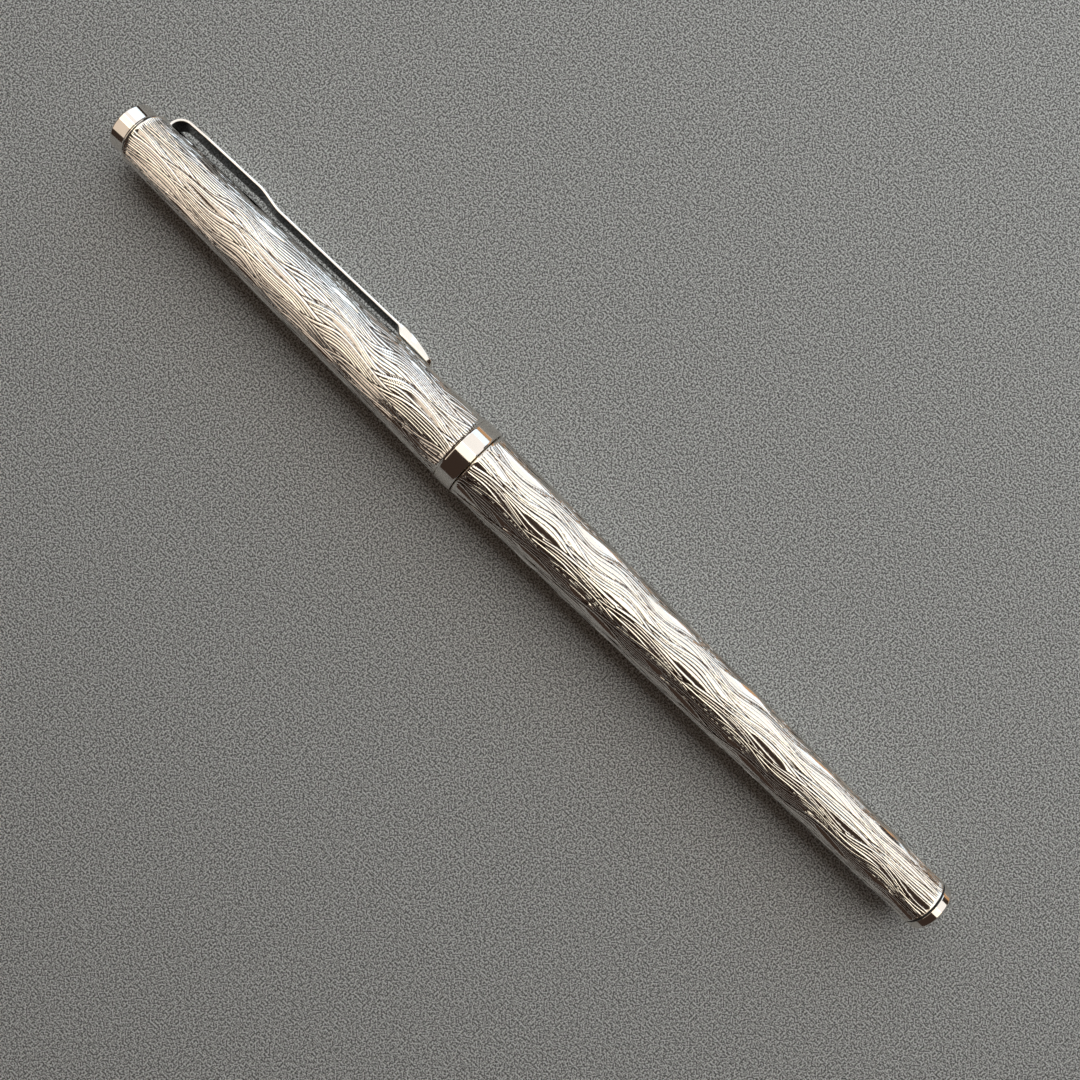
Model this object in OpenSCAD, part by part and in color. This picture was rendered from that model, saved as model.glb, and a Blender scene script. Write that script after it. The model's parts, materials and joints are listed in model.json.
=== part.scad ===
// Slim capped rollerball pen: engraved metal cap and barrel, grip section,
// sprung refill and a side clip. The pen lies on its side along X with the
// cap end towards +X and the clip towards -Y. The origin is on the surface it
// lies on, below the middle of its bounding box. Millimetres.
//
// Every piece is drawn on the pen's own axis: z is the distance from the cap
// end towards the tail and x points up. Whatever belongs to the clip is drawn
// towards -y, and to_clip() turns it to where the clip is.

/* [Whole pen] */
// Length of the closed pen
pen_len = 133; // [128:0.5:140]
// Distance from the cap end to the lip of the cap
cap_len = 57.4; // [55:0.1:60]
// Gap left between pieces that turn or slide past each other
gap = 0.15; // [0.1:0.01:0.2]

/* [End buttons] */
// Diameter of the button on the cap end
cap_button_d = 6.4; // [5.6:0.1:6.8]
// Length of the button on the cap end
cap_button_len = 2.3; // [1.5:0.1:3]
// Diameter of the button on the tail
tail_button_d = 6.5; // [5.6:0.1:6.6]
// Length of the button on the tail
tail_button_len = 1.2; // [1:0.1:2]
// Thickness of the black washer under each button
washer_t = 0.22; // [0.15:0.01:0.4]
// Chamfer on the outer edge of each button
button_chamfer = 0.25; // [0.1:0.05:0.5]

/* [Cap] */
// Diameter of the cap tube at its closed end
cap_end_d = 7.2; // [7:0.05:7.6]
// Diameter of the cap tube where it meets the band
cap_mouth_d = 9.18; // [9.1:0.02:9.22]
// How far the side of the cap tube swells beyond a straight cone
cap_swell = 0.07; // [0:0.01:0.15]
// Wall thickness of the cap tube
cap_wall = 0.35; // [0.3:0.01:0.4]
// Diameter of the polished band at the lip
band_d = 9.26; // [9.24:0.01:9.4]
// Width of the polished band
band_w = 2.6; // [2:0.1:3.4]

/* [Barrel] */
// Diameter of the barrel at its mouth
barrel_mouth_d = 9.2; // [9.1:0.02:9.22]
// Diameter of the barrel at its tail
barrel_tail_d = 6.7; // [6.6:0.05:7]
// How far the side of the barrel swells beyond a straight cone
barrel_swell = 0.1; // [0:0.01:0.2]
// Wall thickness of the barrel tube
barrel_wall = 0.4; // [0.35:0.01:0.45]

/* [Clip] */
// Distance from the cap end to the middle of the clip's root
clip_root_s = 3.5; // [3.45:0.05:3.8]
// Distance from the cap end to the free end of the clip
clip_tip_s = 45.5; // [42:0.1:48]
// Width of the clip at its root
clip_root_w = 3; // [2.8:0.1:3.6]
// Width of the clip where it meets its thick end
clip_neck_w = 2.2; // [1.8:0.1:2.8]
// Greatest width of the thick end
clip_end_w = 3.2; // [3:0.1:4]
// Thickness of the clip strip
clip_t = 0.4; // [0.3:0.02:0.45]
// How far the pen has rolled the clip down from level with its axis, degrees
clip_roll = 15; // [0:1:20]

/* [Front section] */
// Distance from the cap end to the writing tip
tip_s = 10.5; // [10.2:0.1:11]
// Length of the point that shows beyond the nose
point_out = 2.5; // [2:0.1:3]
// Length of the metal nose cone
nose_len = 7; // [6:0.1:7]
// Diameter of the grip where it meets the nose
grip_front_d = 5.9; // [5.8:0.05:6]
// Diameter of the grip at its back
grip_back_d = 7.64; // [7.5:0.02:7.7]
// Diameter of the thread between section and barrel
thread_d = 7.16; // [7.1:0.02:7.2]
// Length of that thread
thread_len = 4.5; // [4:0.1:5]
// Diameter of the plain pilot in front of the thread
pilot_d = 7.44; // [7.4:0.02:7.48]
// Length of the pilot
pilot_len = 3.5; // [3:0.1:4]

/* [Refill] */
// Overall length of the refill
refill_len = 98; // [97:0.1:99]
// Diameter of the refill's tube
refill_d = 5.9; // [5.8:0.05:6]
// Distance from the writing tip to the refill's shoulder
refill_shoulder = 18.5; // [17:0.1:19]
// Diameter of the writing ball
ball_d = 0.7; // [0.5:0.05:1]
// Length of the spring behind the refill
spring_len = 9.4; // [8:0.1:9.6]
// Diameter of the spring wire
spring_wire_d = 0.44; // [0.3:0.02:0.5]
// Number of active turns in the spring
spring_turns = 7; // [5:1:9]

/* [Hidden] */
$fn = 64;

// Colours
engraved_silver = "#c9bdb2";
polished_silver = "#ddd3c8";
black_rubber = "#161616";
black_plastic = "#1d1e20";
white_plastic = "#d9dadc";
brass = "#b8985a";
steel = "#a9abae";
fibre = "#e6e2da";

// Steps used to follow a curved side with short cones
SIDE_STEPS = 16;
// Overlap that keeps a cut clear of the face it goes through
eps = 0.1;
// Clearance of an assembled fit inside one moving body
snug = 0.02;
// Radial clearance of the fits that slide or turn
running = 0.06;

// Where the tubes start and stop
cap_start = cap_button_len + washer_t;
band_start = cap_len - band_w;
barrel_start = cap_len + gap;
barrel_end = pen_len - tail_button_len - washer_t;

// Where the pen's axis lies: the band rests on the surface, and the widest
// reach of the clip is balanced about the origin
clip_reach = 5.9;
axis_z = band_d / 2;
axis_y = (clip_reach - band_d / 2) / 2;

// Wall that closes the end of each tube, and the stud through it
end_wall = 0.6;
cap_stud_r = 1.5;
tail_stud_r = 1.3;

// Outer radius of the cap tube at distance s from the cap end
function cap_r(s) =
    let (t = (s - cap_start) / (band_start - cap_start))
    (cap_end_d + (cap_mouth_d - cap_end_d) * t) / 2 + 4 * cap_swell * t * (1 - t);

// Outer radius of the barrel at distance s from the cap end
function barrel_r(s) =
    let (t = (s - barrel_start) / (barrel_end - barrel_start))
    (barrel_mouth_d + (barrel_tail_d - barrel_mouth_d) * t) / 2
        + 4 * barrel_swell * t * (1 - t);

// Points [radius, s] along a curved side, smaller than the side by inset
function cap_side(from, to, inset = 0) =
    [for (i = [0 : SIDE_STEPS])
        let (s = from + (to - from) * i / SIDE_STEPS) [cap_r(s) - inset, s]];
function barrel_side(from, to, inset = 0) =
    [for (i = [0 : SIDE_STEPS])
        let (s = from + (to - from) * i / SIDE_STEPS) [barrel_r(s) - inset, s]];

// A list of points in the opposite order
function reversed(list) = [for (i = [len(list) - 1 : -1 : 0]) list[i]];

// Points on an arc about c, from angle a to angle b
function arc(c, r, a, b, steps = 8) =
    [for (i = [0 : steps])
        let (q = a + (b - a) * i / steps) c + r * [cos(q), sin(q)]];

// Places the pen's own axis in the frame of the part
module on_pen() {
    translate([pen_len / 2, axis_y, axis_z]) rotate([0, -90, 0]) children();
}

// Turns what is drawn towards -y to where the clip is
module to_clip() {
    rotate([0, 0, -clip_roll]) children();
}

// Solid of revolution about the pen's axis from points [radius, s]
module turned(points) {
    rotate_extrude() polygon(points);
}

// Plain tube from s = a to s = b
module sleeve(a, b, outer_r, inner_r) {
    turned([[inner_r, a], [outer_r, a], [outer_r, b], [inner_r, b]]);
}

// Plain rod from s = a to s = b
module rod(a, b, r) {
    translate([0, 0, a]) cylinder(r = r, h = b - a);
}

// ---- Cap ----

// Thin neck that carries the band
neck_r = 4.38;
neck_bore_r = 4.18;
tube_edge = 0.15;

// Opening in the wall for the clip's root
clip_tab_w = 2.4;
slot_w = clip_tab_w + 2 * gap;
slot_len = clip_t + 2 * gap;

module cap_tube() {
    bore_start = cap_start + end_wall;
    bore_end = band_start - 0.8;
    color(engraved_silver) on_pen() difference() {
        turned(concat(
            [[cap_stud_r + snug, cap_start], [cap_end_d / 2 - tube_edge, cap_start]],
            cap_side(cap_start + tube_edge, band_start),
            [[neck_r, band_start], [neck_r, cap_len - tube_edge],
                [neck_bore_r, cap_len - tube_edge], [neck_bore_r, bore_end]],
            reversed(cap_side(bore_start, bore_end, cap_wall)),
            [[cap_stud_r + snug, bore_start]]
        ));
        to_clip() translate([-slot_w / 2, -cap_end_d, clip_root_s - slot_len / 2])
            cube([slot_w, cap_end_d - cap_stud_r, slot_len]);
    }
}

band_bevel = 0.2;

module cap_band() {
    inner_r = neck_r + snug / 2;
    edge_r = band_d / 2 - band_bevel / 2;
    color(polished_silver) on_pen() turned([
        [inner_r, band_start], [edge_r, band_start],
        [band_d / 2, band_start + band_bevel], [band_d / 2, cap_len - band_bevel],
        [edge_r, cap_len], [inner_r, cap_len]
    ]);
}

// Inner end of the button's stud, and of the bush that it screws into
cap_stud_end = 8.2;
bush_end = 8.6;

module cap_end_button() {
    r = cap_button_d / 2;
    foot = 0.3;
    waist_r = r - 0.12;
    color(polished_silver) on_pen() turned([
        [0, 0], [r - button_chamfer, 0], [r, button_chamfer],
        [waist_r, cap_button_len - foot], [r, cap_button_len - foot / 2],
        [r, cap_button_len], [cap_stud_r, cap_button_len],
        [cap_stud_r, cap_stud_end], [0, cap_stud_end]
    ]);
}

module cap_end_washer() {
    color(black_rubber) on_pen()
        sleeve(cap_button_len, cap_start, cap_button_d / 2 + 0.12, cap_stud_r + snug);
}

// The clip's hook lies in a pocket of the bush, under the wall of the tube
hook_r = 2.85;
hook_end = 5.2;

module clip_bush() {
    start = cap_start + end_wall + snug;
    pocket_floor = hook_r - clip_t / 2 - gap;
    color(black_plastic) on_pen() difference() {
        turned(concat(
            [[cap_stud_r + snug, start]],
            cap_side(start, bush_end, cap_wall + snug),
            [[cap_stud_r + snug, bush_end]]
        ));
        to_clip() translate([-slot_w / 2, -cap_end_d, start - eps])
            cube([slot_w, cap_end_d - pocket_floor, hook_end + 2 * gap - start + eps]);
    }
}

// Plastic liner that keeps the tip from drying out
liner_wall = 0.6;
liner_mouth = 20.5;
liner_lip_s = 18;

module inner_cap() {
    start = bush_end + snug;
    floor_s = start + liner_wall;
    lip_r = nose_r(liner_lip_s) + running + 0.04;
    chamber_r = cap_r(start) - cap_wall - snug - liner_wall;
    mouth_r = cap_r(liner_mouth) - cap_wall - liner_wall;
    color(white_plastic) on_pen() turned(concat(
        [[0, start]],
        cap_side(start, liner_mouth, cap_wall + snug),
        [[mouth_r, liner_mouth], [mouth_r - 0.15, liner_lip_s + 0.9],
            [lip_r + 0.1, liner_lip_s + 0.2], [lip_r, liner_lip_s],
            [lip_r, liner_lip_s - 0.4], [chamber_r, liner_lip_s - 0.8],
            [chamber_r, floor_s], [0, floor_s]]
    ));
}

// Sprung sleeve whose fingers grip the section when the cap is pushed on
clutch_start = 38.5;
clutch_end = 50;
clutch_ring_s = 46.5;
clutch_grip_s = 39.5;
clutch_t = 0.2;
CLUTCH_FINGERS = 6;
clutch_slot_w = 0.9;

module cap_clutch() {
    ring_r = cap_r(clutch_ring_s) - cap_wall - 2 * snug;
    grip_r = grip_r_at(clutch_grip_s) + running;
    flare = 0.2;
    color(brass) on_pen() difference() {
        turned([
            [grip_r + flare, clutch_start], [grip_r + flare + clutch_t, clutch_start],
            [grip_r + clutch_t, clutch_grip_s], [ring_r, clutch_ring_s],
            [ring_r, clutch_end], [ring_r - clutch_t, clutch_end],
            [ring_r - clutch_t, clutch_ring_s], [grip_r, clutch_grip_s]
        ]);
        for (i = [0 : CLUTCH_FINGERS - 1])
            rotate([0, 0, i * 360 / CLUTCH_FINGERS])
                translate([0, -clutch_slot_w / 2, clutch_start - eps])
                    cube([cap_mouth_d, clutch_slot_w, clutch_ring_s - clutch_start]);
    }
}

// ---- Clip ----

// Middle line of the strip as [distance from the axis, s]: the hook under the
// wall, the bend over the wall, a straight upper plate, a small crank inwards
// and the long spring arm
bend_r = 1.5;
plate_start_r = 5.07;
plate_end_r = 5.4;
crank_start = 16.2;
crank_end = 19.8;
arm_start_r = 4.95;
arm_end_r = 5.38;
arm_end = 39.8;
hook_bend_r = 0.3;

clip_line = concat(
    [[hook_r, hook_end]],
    arc([hook_r + hook_bend_r, clip_root_s + hook_bend_r], hook_bend_r, 180, 270, 4),
    arc([plate_start_r - bend_r, clip_root_s + bend_r], bend_r, -90, 0, 10),
    [[plate_end_r, crank_start], [plate_end_r - 0.1, crank_start + 0.9],
        [arm_start_r + 0.08, crank_end - 0.9], [arm_start_r, crank_end],
        [arm_end_r, arm_end]]
);

// Unit normal of the strip at point i of its middle line
function line_normal(line, i) =
    let (
        a = line[max(i - 1, 0)],
        b = line[min(i + 1, len(line) - 1)],
        d = (b - a) / norm(b - a)
    )
    [-d[1], d[0]];

function line_side(line, offset) =
    [for (i = [0 : len(line) - 1]) line[i] + offset * line_normal(line, i)];

// Thick end of the clip, which bears on the cap: an oval pad whose crest falls
// towards its tip
end_start = 39.2;
end_crest_s = 40.3;
end_floor_r = 4.57;
end_tip_reach = 4.9;
tip_round = 0.1;
pad_half = (clip_tip_s - end_start) / 2;

function pad_half_w(s) =
    clip_end_w / 2 * sqrt(max(0, 1 - pow((clip_tip_s - s) / pad_half - 1, 2)));

// Radius of the crest at s whose upper edge reaches this far across from the axis
function crest_r(reach, s) = (reach - pad_half_w(s) * sin(clip_roll)) / cos(clip_roll);

function crest_point(t) =
    let (
        s = end_crest_s + (clip_tip_s - tip_round - end_crest_s) * t,
        reach = clip_reach - (clip_reach - end_tip_reach) * pow(t, 1.6)
    )
    [crest_r(reach, s), s];

end_profile = concat(
    [[end_floor_r, end_start + 0.4], [arm_end_r - 0.1, end_start],
        [arm_end_r + clip_t / 2, end_start], [crest_point(0)[0] - 0.05, end_start + 0.5]],
    [for (i = [0 : 10]) crest_point(i / 10)],
    [[end_floor_r + tip_round, clip_tip_s], [end_floor_r, clip_tip_s - 0.35]]
);

// Half of the clip's outline seen from outside, as [half width, s]: a strip
// that narrows at the crank and ends in the oval pad
pad_start_angle = asin(clip_neck_w / clip_end_w);
clip_half_outline = concat(
    [[clip_tab_w / 2, clip_root_s - 1], [clip_tab_w / 2, hook_end + eps],
        [clip_root_w / 2, hook_end + 1], [clip_root_w / 2, crank_start],
        [clip_neck_w / 2 + 0.15, crank_end]],
    [for (i = [0 : 12])
        let (q = pad_start_angle + (180 - pad_start_angle) * i / 12)
        [clip_end_w / 2 * sin(q), clip_tip_s - pad_half * (1 + cos(q))]]
);

// Slab whose side view is the outline of points [distance from the axis, s]
module side_cut(points) {
    rotate([0, 90, 0]) rotate([0, 0, 180])
        linear_extrude(2 * clip_end_w, center = true)
            polygon([for (p = points) [p[1], p[0]]]);
}

module clip() {
    strip = concat(
        line_side(clip_line, clip_t / 2),
        reversed(line_side(clip_line, -clip_t / 2))
    );
    other_half = [for (p = reversed(clip_half_outline)) [-p[0], p[1]]];
    color(polished_silver) on_pen() to_clip() intersection() {
        union() {
            side_cut(strip);
            side_cut(end_profile);
        }
        rotate([90, 0, 0]) linear_extrude(2 * clip_reach)
            polygon(concat(clip_half_outline, other_half));
    }
}

// ---- Front section ----

nose_front = tip_s + point_out;
nose_back = nose_front + nose_len;
nose_front_r = 1.45;
ring_start = 55.5;
connector_start = 52;
thread_relief = 0.5;
connector_root = cap_len + 2 * snug;
connector_end = connector_root + pilot_len + thread_relief + thread_len;
refill_shoulder_s = tip_s + refill_shoulder;
refill_bore_r = refill_d / 2 + running;
housing_r = 2.1;
housing_bore_r = housing_r + running;
spigot_r = 2.5;
spigot_len = 4;

// Outer radius of the nose cone and of the grip at distance s
function nose_r(s) =
    nose_front_r + (grip_front_d / 2 - nose_front_r) * (s - nose_front) / nose_len;
function grip_r_at(s) =
    (grip_front_d + (grip_back_d - grip_front_d)
        * pow((s - nose_back) / (ring_start - nose_back), 0.6)) / 2;

module section_nose() {
    mouth_r = point_r + running;
    color(polished_silver) on_pen() turned([
        [mouth_r, nose_front], [nose_front_r - 0.08, nose_front],
        [nose_front_r, nose_front + 0.08], [grip_front_d / 2, nose_back],
        [spigot_r, nose_back], [spigot_r, nose_back + spigot_len],
        [housing_bore_r, nose_back + spigot_len], [housing_bore_r, nose_back],
        [mouth_r, nose_front + 1.2]
    ]);
}

module grip_section() {
    side = [for (i = [0 : SIDE_STEPS])
        let (s = nose_back + (ring_start - nose_back) * i / SIDE_STEPS) [grip_r_at(s), s]];
    spigot_bore_r = spigot_r + snug;
    spigot_end = nose_back + spigot_len + snug;
    connector_bore_r = connector_r + snug;
    color(black_plastic) on_pen() turned(concat(
        [[spigot_bore_r, nose_back + snug], [grip_front_d / 2, nose_back + snug]],
        [for (i = [1 : SIDE_STEPS]) side[i]],
        [[connector_bore_r, ring_start], [connector_bore_r, connector_start - snug],
            [refill_bore_r, connector_start - snug], [refill_bore_r, refill_shoulder_s],
            [housing_bore_r, refill_shoulder_s], [housing_bore_r, spigot_end],
            [spigot_bore_r, spigot_end]]
    ));
}

connector_r = 3.32;
ring_r = 3.95;

module section_ring() {
    edge = 0.15;
    end = cap_len + snug;
    start = ring_start + snug;
    color(polished_silver) on_pen() turned([
        [connector_r + snug, start], [ring_r - edge, start],
        [ring_r, start + edge], [ring_r, end - edge], [ring_r - edge, end],
        [connector_r + snug, end]
    ]);
}

module section_connector() {
    lead = 0.2;
    relief_r = thread_d / 2 - 0.15;
    relief_start = connector_root + pilot_len;
    thread_start = relief_start + thread_relief;
    color(brass) on_pen() turned([
        [refill_bore_r, connector_start], [connector_r, connector_start],
        [connector_r, connector_root], [pilot_d / 2, connector_root],
        [pilot_d / 2, relief_start - lead], [pilot_d / 2 - lead, relief_start],
        [relief_r, relief_start], [relief_r, thread_start], [thread_d / 2, thread_start],
        [thread_d / 2, connector_end - lead], [thread_d / 2 - lead, connector_end],
        [refill_bore_r, connector_end]
    ]);
}

// ---- Refill ----

refill_end = tip_s + refill_len;
refill_wall = 0.3;
refill_inner_r = refill_d / 2 - refill_wall;
housing_start = 15.4;
housing_full_s = nose_back;
housing_tail = 33;
point_r = 1.15;
point_shoulder = 13.2;
point_end = 17.6;
point_tail_r = 0.9;
ball_c = tip_s + ball_d / 2;
wick_r = 0.6;
wick_start = 16.4;
wick_end = 40;
plug_len = 4;
plug_flange = 1;

module refill_tube() {
    color(steel) on_pen()
        sleeve(refill_shoulder_s + running, refill_end - plug_flange,
            refill_d / 2, refill_inner_r);
}

module refill_front() {
    bore_r = wick_r + snug;
    point_bore_r = point_tail_r + snug;
    face = refill_shoulder_s + running;
    color(white_plastic) on_pen() turned([
        [point_bore_r, housing_start], [1.35, housing_start],
        [housing_r, housing_full_s], [housing_r, face], [refill_inner_r - snug, face],
        [refill_inner_r - snug, housing_tail], [bore_r, housing_tail],
        [bore_r, point_end + snug], [point_bore_r, point_end + snug]
    ]);
}

module refill_point() {
    socket_r = ball_d / 2 + running / 2;
    mouth_r = ball_d / 2 + 0.02;
    mouth_s = ball_c - 0.02;
    ink_r = 0.2;
    color(steel) on_pen() difference() {
        turned([
            [ink_r, mouth_s], [mouth_r + 0.05, mouth_s], [0.62, mouth_s + 0.55],
            [0.62, mouth_s + 0.9], [point_r, mouth_s + 1.6], [point_r, housing_start - snug],
            [point_tail_r, housing_start - snug], [point_tail_r, point_end],
            [wick_r + snug, point_end], [wick_r + snug, wick_start - snug],
            [ink_r, wick_start - snug]
        ]);
        translate([0, 0, ball_c]) sphere(r = socket_r);
    }
}

module writing_ball() {
    color(steel) on_pen() translate([0, 0, ball_c]) sphere(d = ball_d);
}

module refill_end_plug() {
    face = refill_end - plug_flange + snug;
    edge = 0.25;
    color(white_plastic) on_pen() turned([
        [0, refill_end - plug_len], [refill_inner_r - snug, refill_end - plug_len],
        [refill_inner_r - snug, face], [refill_d / 2, face],
        [refill_d / 2, refill_end - edge], [refill_d / 2 - edge, refill_end],
        [0, refill_end]
    ]);
}

module ink_reservoir() {
    start = housing_tail + snug;
    color(fibre) on_pen() difference() {
        rod(start, refill_end - plug_len - snug, refill_inner_r - snug);
        rod(start - eps, wick_end + snug, wick_r + snug);
    }
}

module ink_wick() {
    color(fibre) on_pen() rod(wick_start, wick_end, wick_r);
}

// ---- Spring ----

spring_r = 2.25;
spring_start = refill_end + 0.1;
spring_end = spring_start + spring_len;
COIL_SIDES = 8;
COIL_STEPS = 18;

// Closed coils at both ends and open turns between them: the height of the
// wire's middle at fraction t of the spring's windings
CLOSED = 1;
windings = spring_turns + 2 * CLOSED;
function coil_z(turn) =
    let (
        low = spring_wire_d / 2,
        top = spring_len - spring_wire_d / 2,
        rise = spring_wire_d * 1.02,
        open = (top - low - 2 * rise * CLOSED) / spring_turns
    )
    turn < CLOSED ? low + rise * turn
        : turn > windings - CLOSED ? top - rise * (windings - turn)
        : low + rise * CLOSED + open * (turn - CLOSED);

module refill_spring() {
    rings = windings * COIL_STEPS;
    points = [for (i = [0 : rings], j = [0 : COIL_SIDES - 1])
        let (
            turn = i / COIL_STEPS,
            q = 360 * turn,
            a = 360 * j / COIL_SIDES,
            r = spring_r + spring_wire_d / 2 * cos(a)
        )
        [r * cos(q), r * sin(q), coil_z(turn) + spring_wire_d / 2 * sin(a)]];
    sides = [for (i = [0 : rings - 1], j = [0 : COIL_SIDES - 1])
        let (k = (j + 1) % COIL_SIDES)
        [i * COIL_SIDES + j, i * COIL_SIDES + k,
            (i + 1) * COIL_SIDES + k, (i + 1) * COIL_SIDES + j]];
    first = [for (j = [COIL_SIDES - 1 : -1 : 0]) j];
    last = [for (j = [0 : COIL_SIDES - 1]) rings * COIL_SIDES + j];
    color(steel) on_pen() translate([0, 0, spring_start])
        polyhedron(points, concat([first], sides, [last]), convexity = 10);
}

cup_start = spring_end + 0.05;
cup_len = 2;

module spring_cup() {
    r = 2.8;
    pilot_r = spring_r - spring_wire_d / 2 - gap;
    pilot_len = 2.4;
    color(black_plastic) on_pen() turned([
        [0, cup_start - pilot_len], [pilot_r - 0.3, cup_start - pilot_len],
        [pilot_r, cup_start - pilot_len + 0.5], [pilot_r, cup_start],
        [r, cup_start], [r, cup_start + cup_len], [0, cup_start + cup_len]
    ]);
}

// ---- Barrel ----

mouth_bore_r = 4.02;
bush_start = barrel_start + snug;
bush_len = 9;

module barrel_tube() {
    step_s = bush_start + bush_len + snug;
    wall_start = barrel_end - end_wall;
    color(engraved_silver) on_pen() turned(concat(
        [[mouth_bore_r, barrel_start], [barrel_mouth_d / 2 - tube_edge, barrel_start]],
        barrel_side(barrel_start + tube_edge, barrel_end - tube_edge),
        [[barrel_tail_d / 2 - tube_edge, barrel_end], [tail_stud_r + snug, barrel_end],
            [tail_stud_r + snug, wall_start]],
        reversed(barrel_side(step_s, wall_start, barrel_wall)),
        [[mouth_bore_r, step_s]]
    ));
}

module barrel_bush() {
    outer_r = mouth_bore_r - snug;
    pilot_bore_r = pilot_d / 2 + running;
    thread_bore_r = thread_d / 2 + running;
    step_s = connector_root + pilot_len + thread_relief / 2;
    end = bush_start + bush_len;
    color(brass) on_pen() turned([
        [pilot_bore_r, bush_start], [outer_r, bush_start], [outer_r, end],
        [thread_bore_r, end], [thread_bore_r, step_s], [pilot_bore_r, step_s]
    ]);
}

module barrel_tail_plug() {
    start = cup_start + cup_len + gap;
    end = barrel_end - end_wall - snug;
    hole_start = start + 4;
    color(black_plastic) on_pen() turned(concat(
        [[0, start]],
        barrel_side(start, end, barrel_wall + snug),
        [[tail_stud_r + snug, end], [tail_stud_r + snug, hole_start], [0, hole_start]]
    ));
}

module barrel_end_washer() {
    color(black_rubber) on_pen()
        sleeve(barrel_end, barrel_end + washer_t, tail_button_d / 2 - 0.05,
            tail_stud_r + snug);
}

module barrel_end_button() {
    r = tail_button_d / 2;
    face = pen_len - tail_button_len;
    stud_end = barrel_end - 5;
    color(polished_silver) on_pen() turned([
        [0, stud_end], [tail_stud_r, stud_end], [tail_stud_r, face], [r, face],
        [r, pen_len - button_chamfer], [r - button_chamfer, pen_len], [0, pen_len]
    ]);
}

cap_tube();
cap_band();
cap_end_button();
cap_end_washer();
clip_bush();
inner_cap();
cap_clutch();
clip();
grip_section();
section_nose();
section_ring();
section_connector();
refill_tube();
refill_front();
refill_point();
refill_end_plug();
ink_reservoir();
ink_wick();
writing_ball();
refill_spring();
spring_cup();
barrel_tube();
barrel_bush();
barrel_tail_plug();
barrel_end_washer();
barrel_end_button();
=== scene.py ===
import json
import math

import bmesh
import bpy
import numpy as np
from mathutils import Matrix, Vector


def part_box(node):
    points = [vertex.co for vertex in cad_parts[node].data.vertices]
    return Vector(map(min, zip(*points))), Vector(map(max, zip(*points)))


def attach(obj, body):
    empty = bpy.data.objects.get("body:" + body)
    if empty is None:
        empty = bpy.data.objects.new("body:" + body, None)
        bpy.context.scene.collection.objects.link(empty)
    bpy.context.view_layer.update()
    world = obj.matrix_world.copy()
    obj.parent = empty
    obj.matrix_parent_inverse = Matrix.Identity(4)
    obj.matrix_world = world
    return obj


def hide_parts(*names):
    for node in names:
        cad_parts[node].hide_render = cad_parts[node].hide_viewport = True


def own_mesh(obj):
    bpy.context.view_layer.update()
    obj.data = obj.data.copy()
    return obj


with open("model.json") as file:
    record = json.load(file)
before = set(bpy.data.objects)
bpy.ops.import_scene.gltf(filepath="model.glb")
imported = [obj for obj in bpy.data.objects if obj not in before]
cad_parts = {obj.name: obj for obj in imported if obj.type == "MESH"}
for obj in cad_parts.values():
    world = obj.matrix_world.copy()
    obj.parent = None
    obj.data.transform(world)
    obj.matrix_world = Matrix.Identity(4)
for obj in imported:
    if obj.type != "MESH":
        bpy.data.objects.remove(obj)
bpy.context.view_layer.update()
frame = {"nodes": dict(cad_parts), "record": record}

# Lengths below are in millimetres and become metres where a mesh, a light or the camera is made.
# A place on the pen is (s, r, turn): s along the pen from the cap end, r from its axis, and turn
# about the axis from straight up towards +Y, so that the clip is at a turn of -105 degrees.
MM = 0.001
FULL_TURN = 2 * math.pi
CLIP_TURN = math.radians(-105)
nodes = frame["nodes"]
bodies = frame["record"]["behaviour"]["bodies"]
band_low, band_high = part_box("cap_band")
AXIS_Y = (band_low.y + band_high.y) / 2 / MM
AXIS_Z = (band_low.z + band_high.z) / 2 / MM
CAP_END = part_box("cap_end_button")[1].x / MM


def stretch_of(node):
    """Where a CAD node starts and ends along the pen."""
    low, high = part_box(node)
    return CAP_END - high.x / MM, CAP_END - low.x / MM


def on_pen(s, r, turn):
    """Points of the frame, in metres, from arrays of places on the pen."""
    s, r, turn = np.broadcast_arrays(s, r, turn)
    across, up = AXIS_Y + r * np.sin(turn), AXIS_Z + r * np.cos(turn)
    return np.stack([CAP_END - s, across, up], -1).reshape(-1, 3) * MM


# ---- Outlines of the turned CAD nodes ----

SAME = 0.004  # two rings of a CAD mesh closer than this are one


def outline_of(node, hollow_at=None):
    """The outline [(s, r), ...] of a turned CAD node, in order round its section.

    Only the half away from the clip is read, where no slot interrupts it. A solid node's outline
    starts and ends on the axis. hollow_at is (s, radius) of a ball socket to leave out."""
    mesh = nodes[node].data
    rings, ring_of = [], {}
    for v in mesh.vertices:
        x, y, z = v.co / MM
        s, r = CAP_END - x, math.hypot(y - AXIS_Y, z - AXIS_Z)
        in_socket = hollow_at and math.hypot(s - hollow_at[0], r) < hollow_at[1]
        if y < AXIS_Y or in_socket:
            continue
        near = [i for i, (a, b) in enumerate(rings) if abs(a - s) < SAME and abs(b - r) < SAME]
        if not near:
            rings.append((s, r))
        ring_of[v.index] = near[0] if near else len(rings) - 1
    links = {i: set() for i in range(len(rings))}
    for edge in mesh.edges:
        a, b = (ring_of.get(i) for i in edge.vertices)
        if a is not None and b is not None and a != b:
            links[a].add(b)
            links[b].add(a)
    open_ends = [i for i in links if len(links[i]) == 1]
    path = [open_ends[0] if open_ends else 0]
    while True:
        onward = [i for i in links[path[-1]] if i not in path]
        if not onward:
            break
        path.append(onward[0])
    outline = [rings[i] for i in path]
    if open_ends and not hollow_at:
        outline = [(outline[0][0], 0.0)] + outline + [(outline[-1][0], 0.0)]
    return outline


STRAIGHT = -0.985     # cosine between the two arms of a corner that is taken as straight
CORNER_SHARE = 0.3    # an arc takes at most this share of its shorter arm
ARC_POINTS = 5


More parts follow.
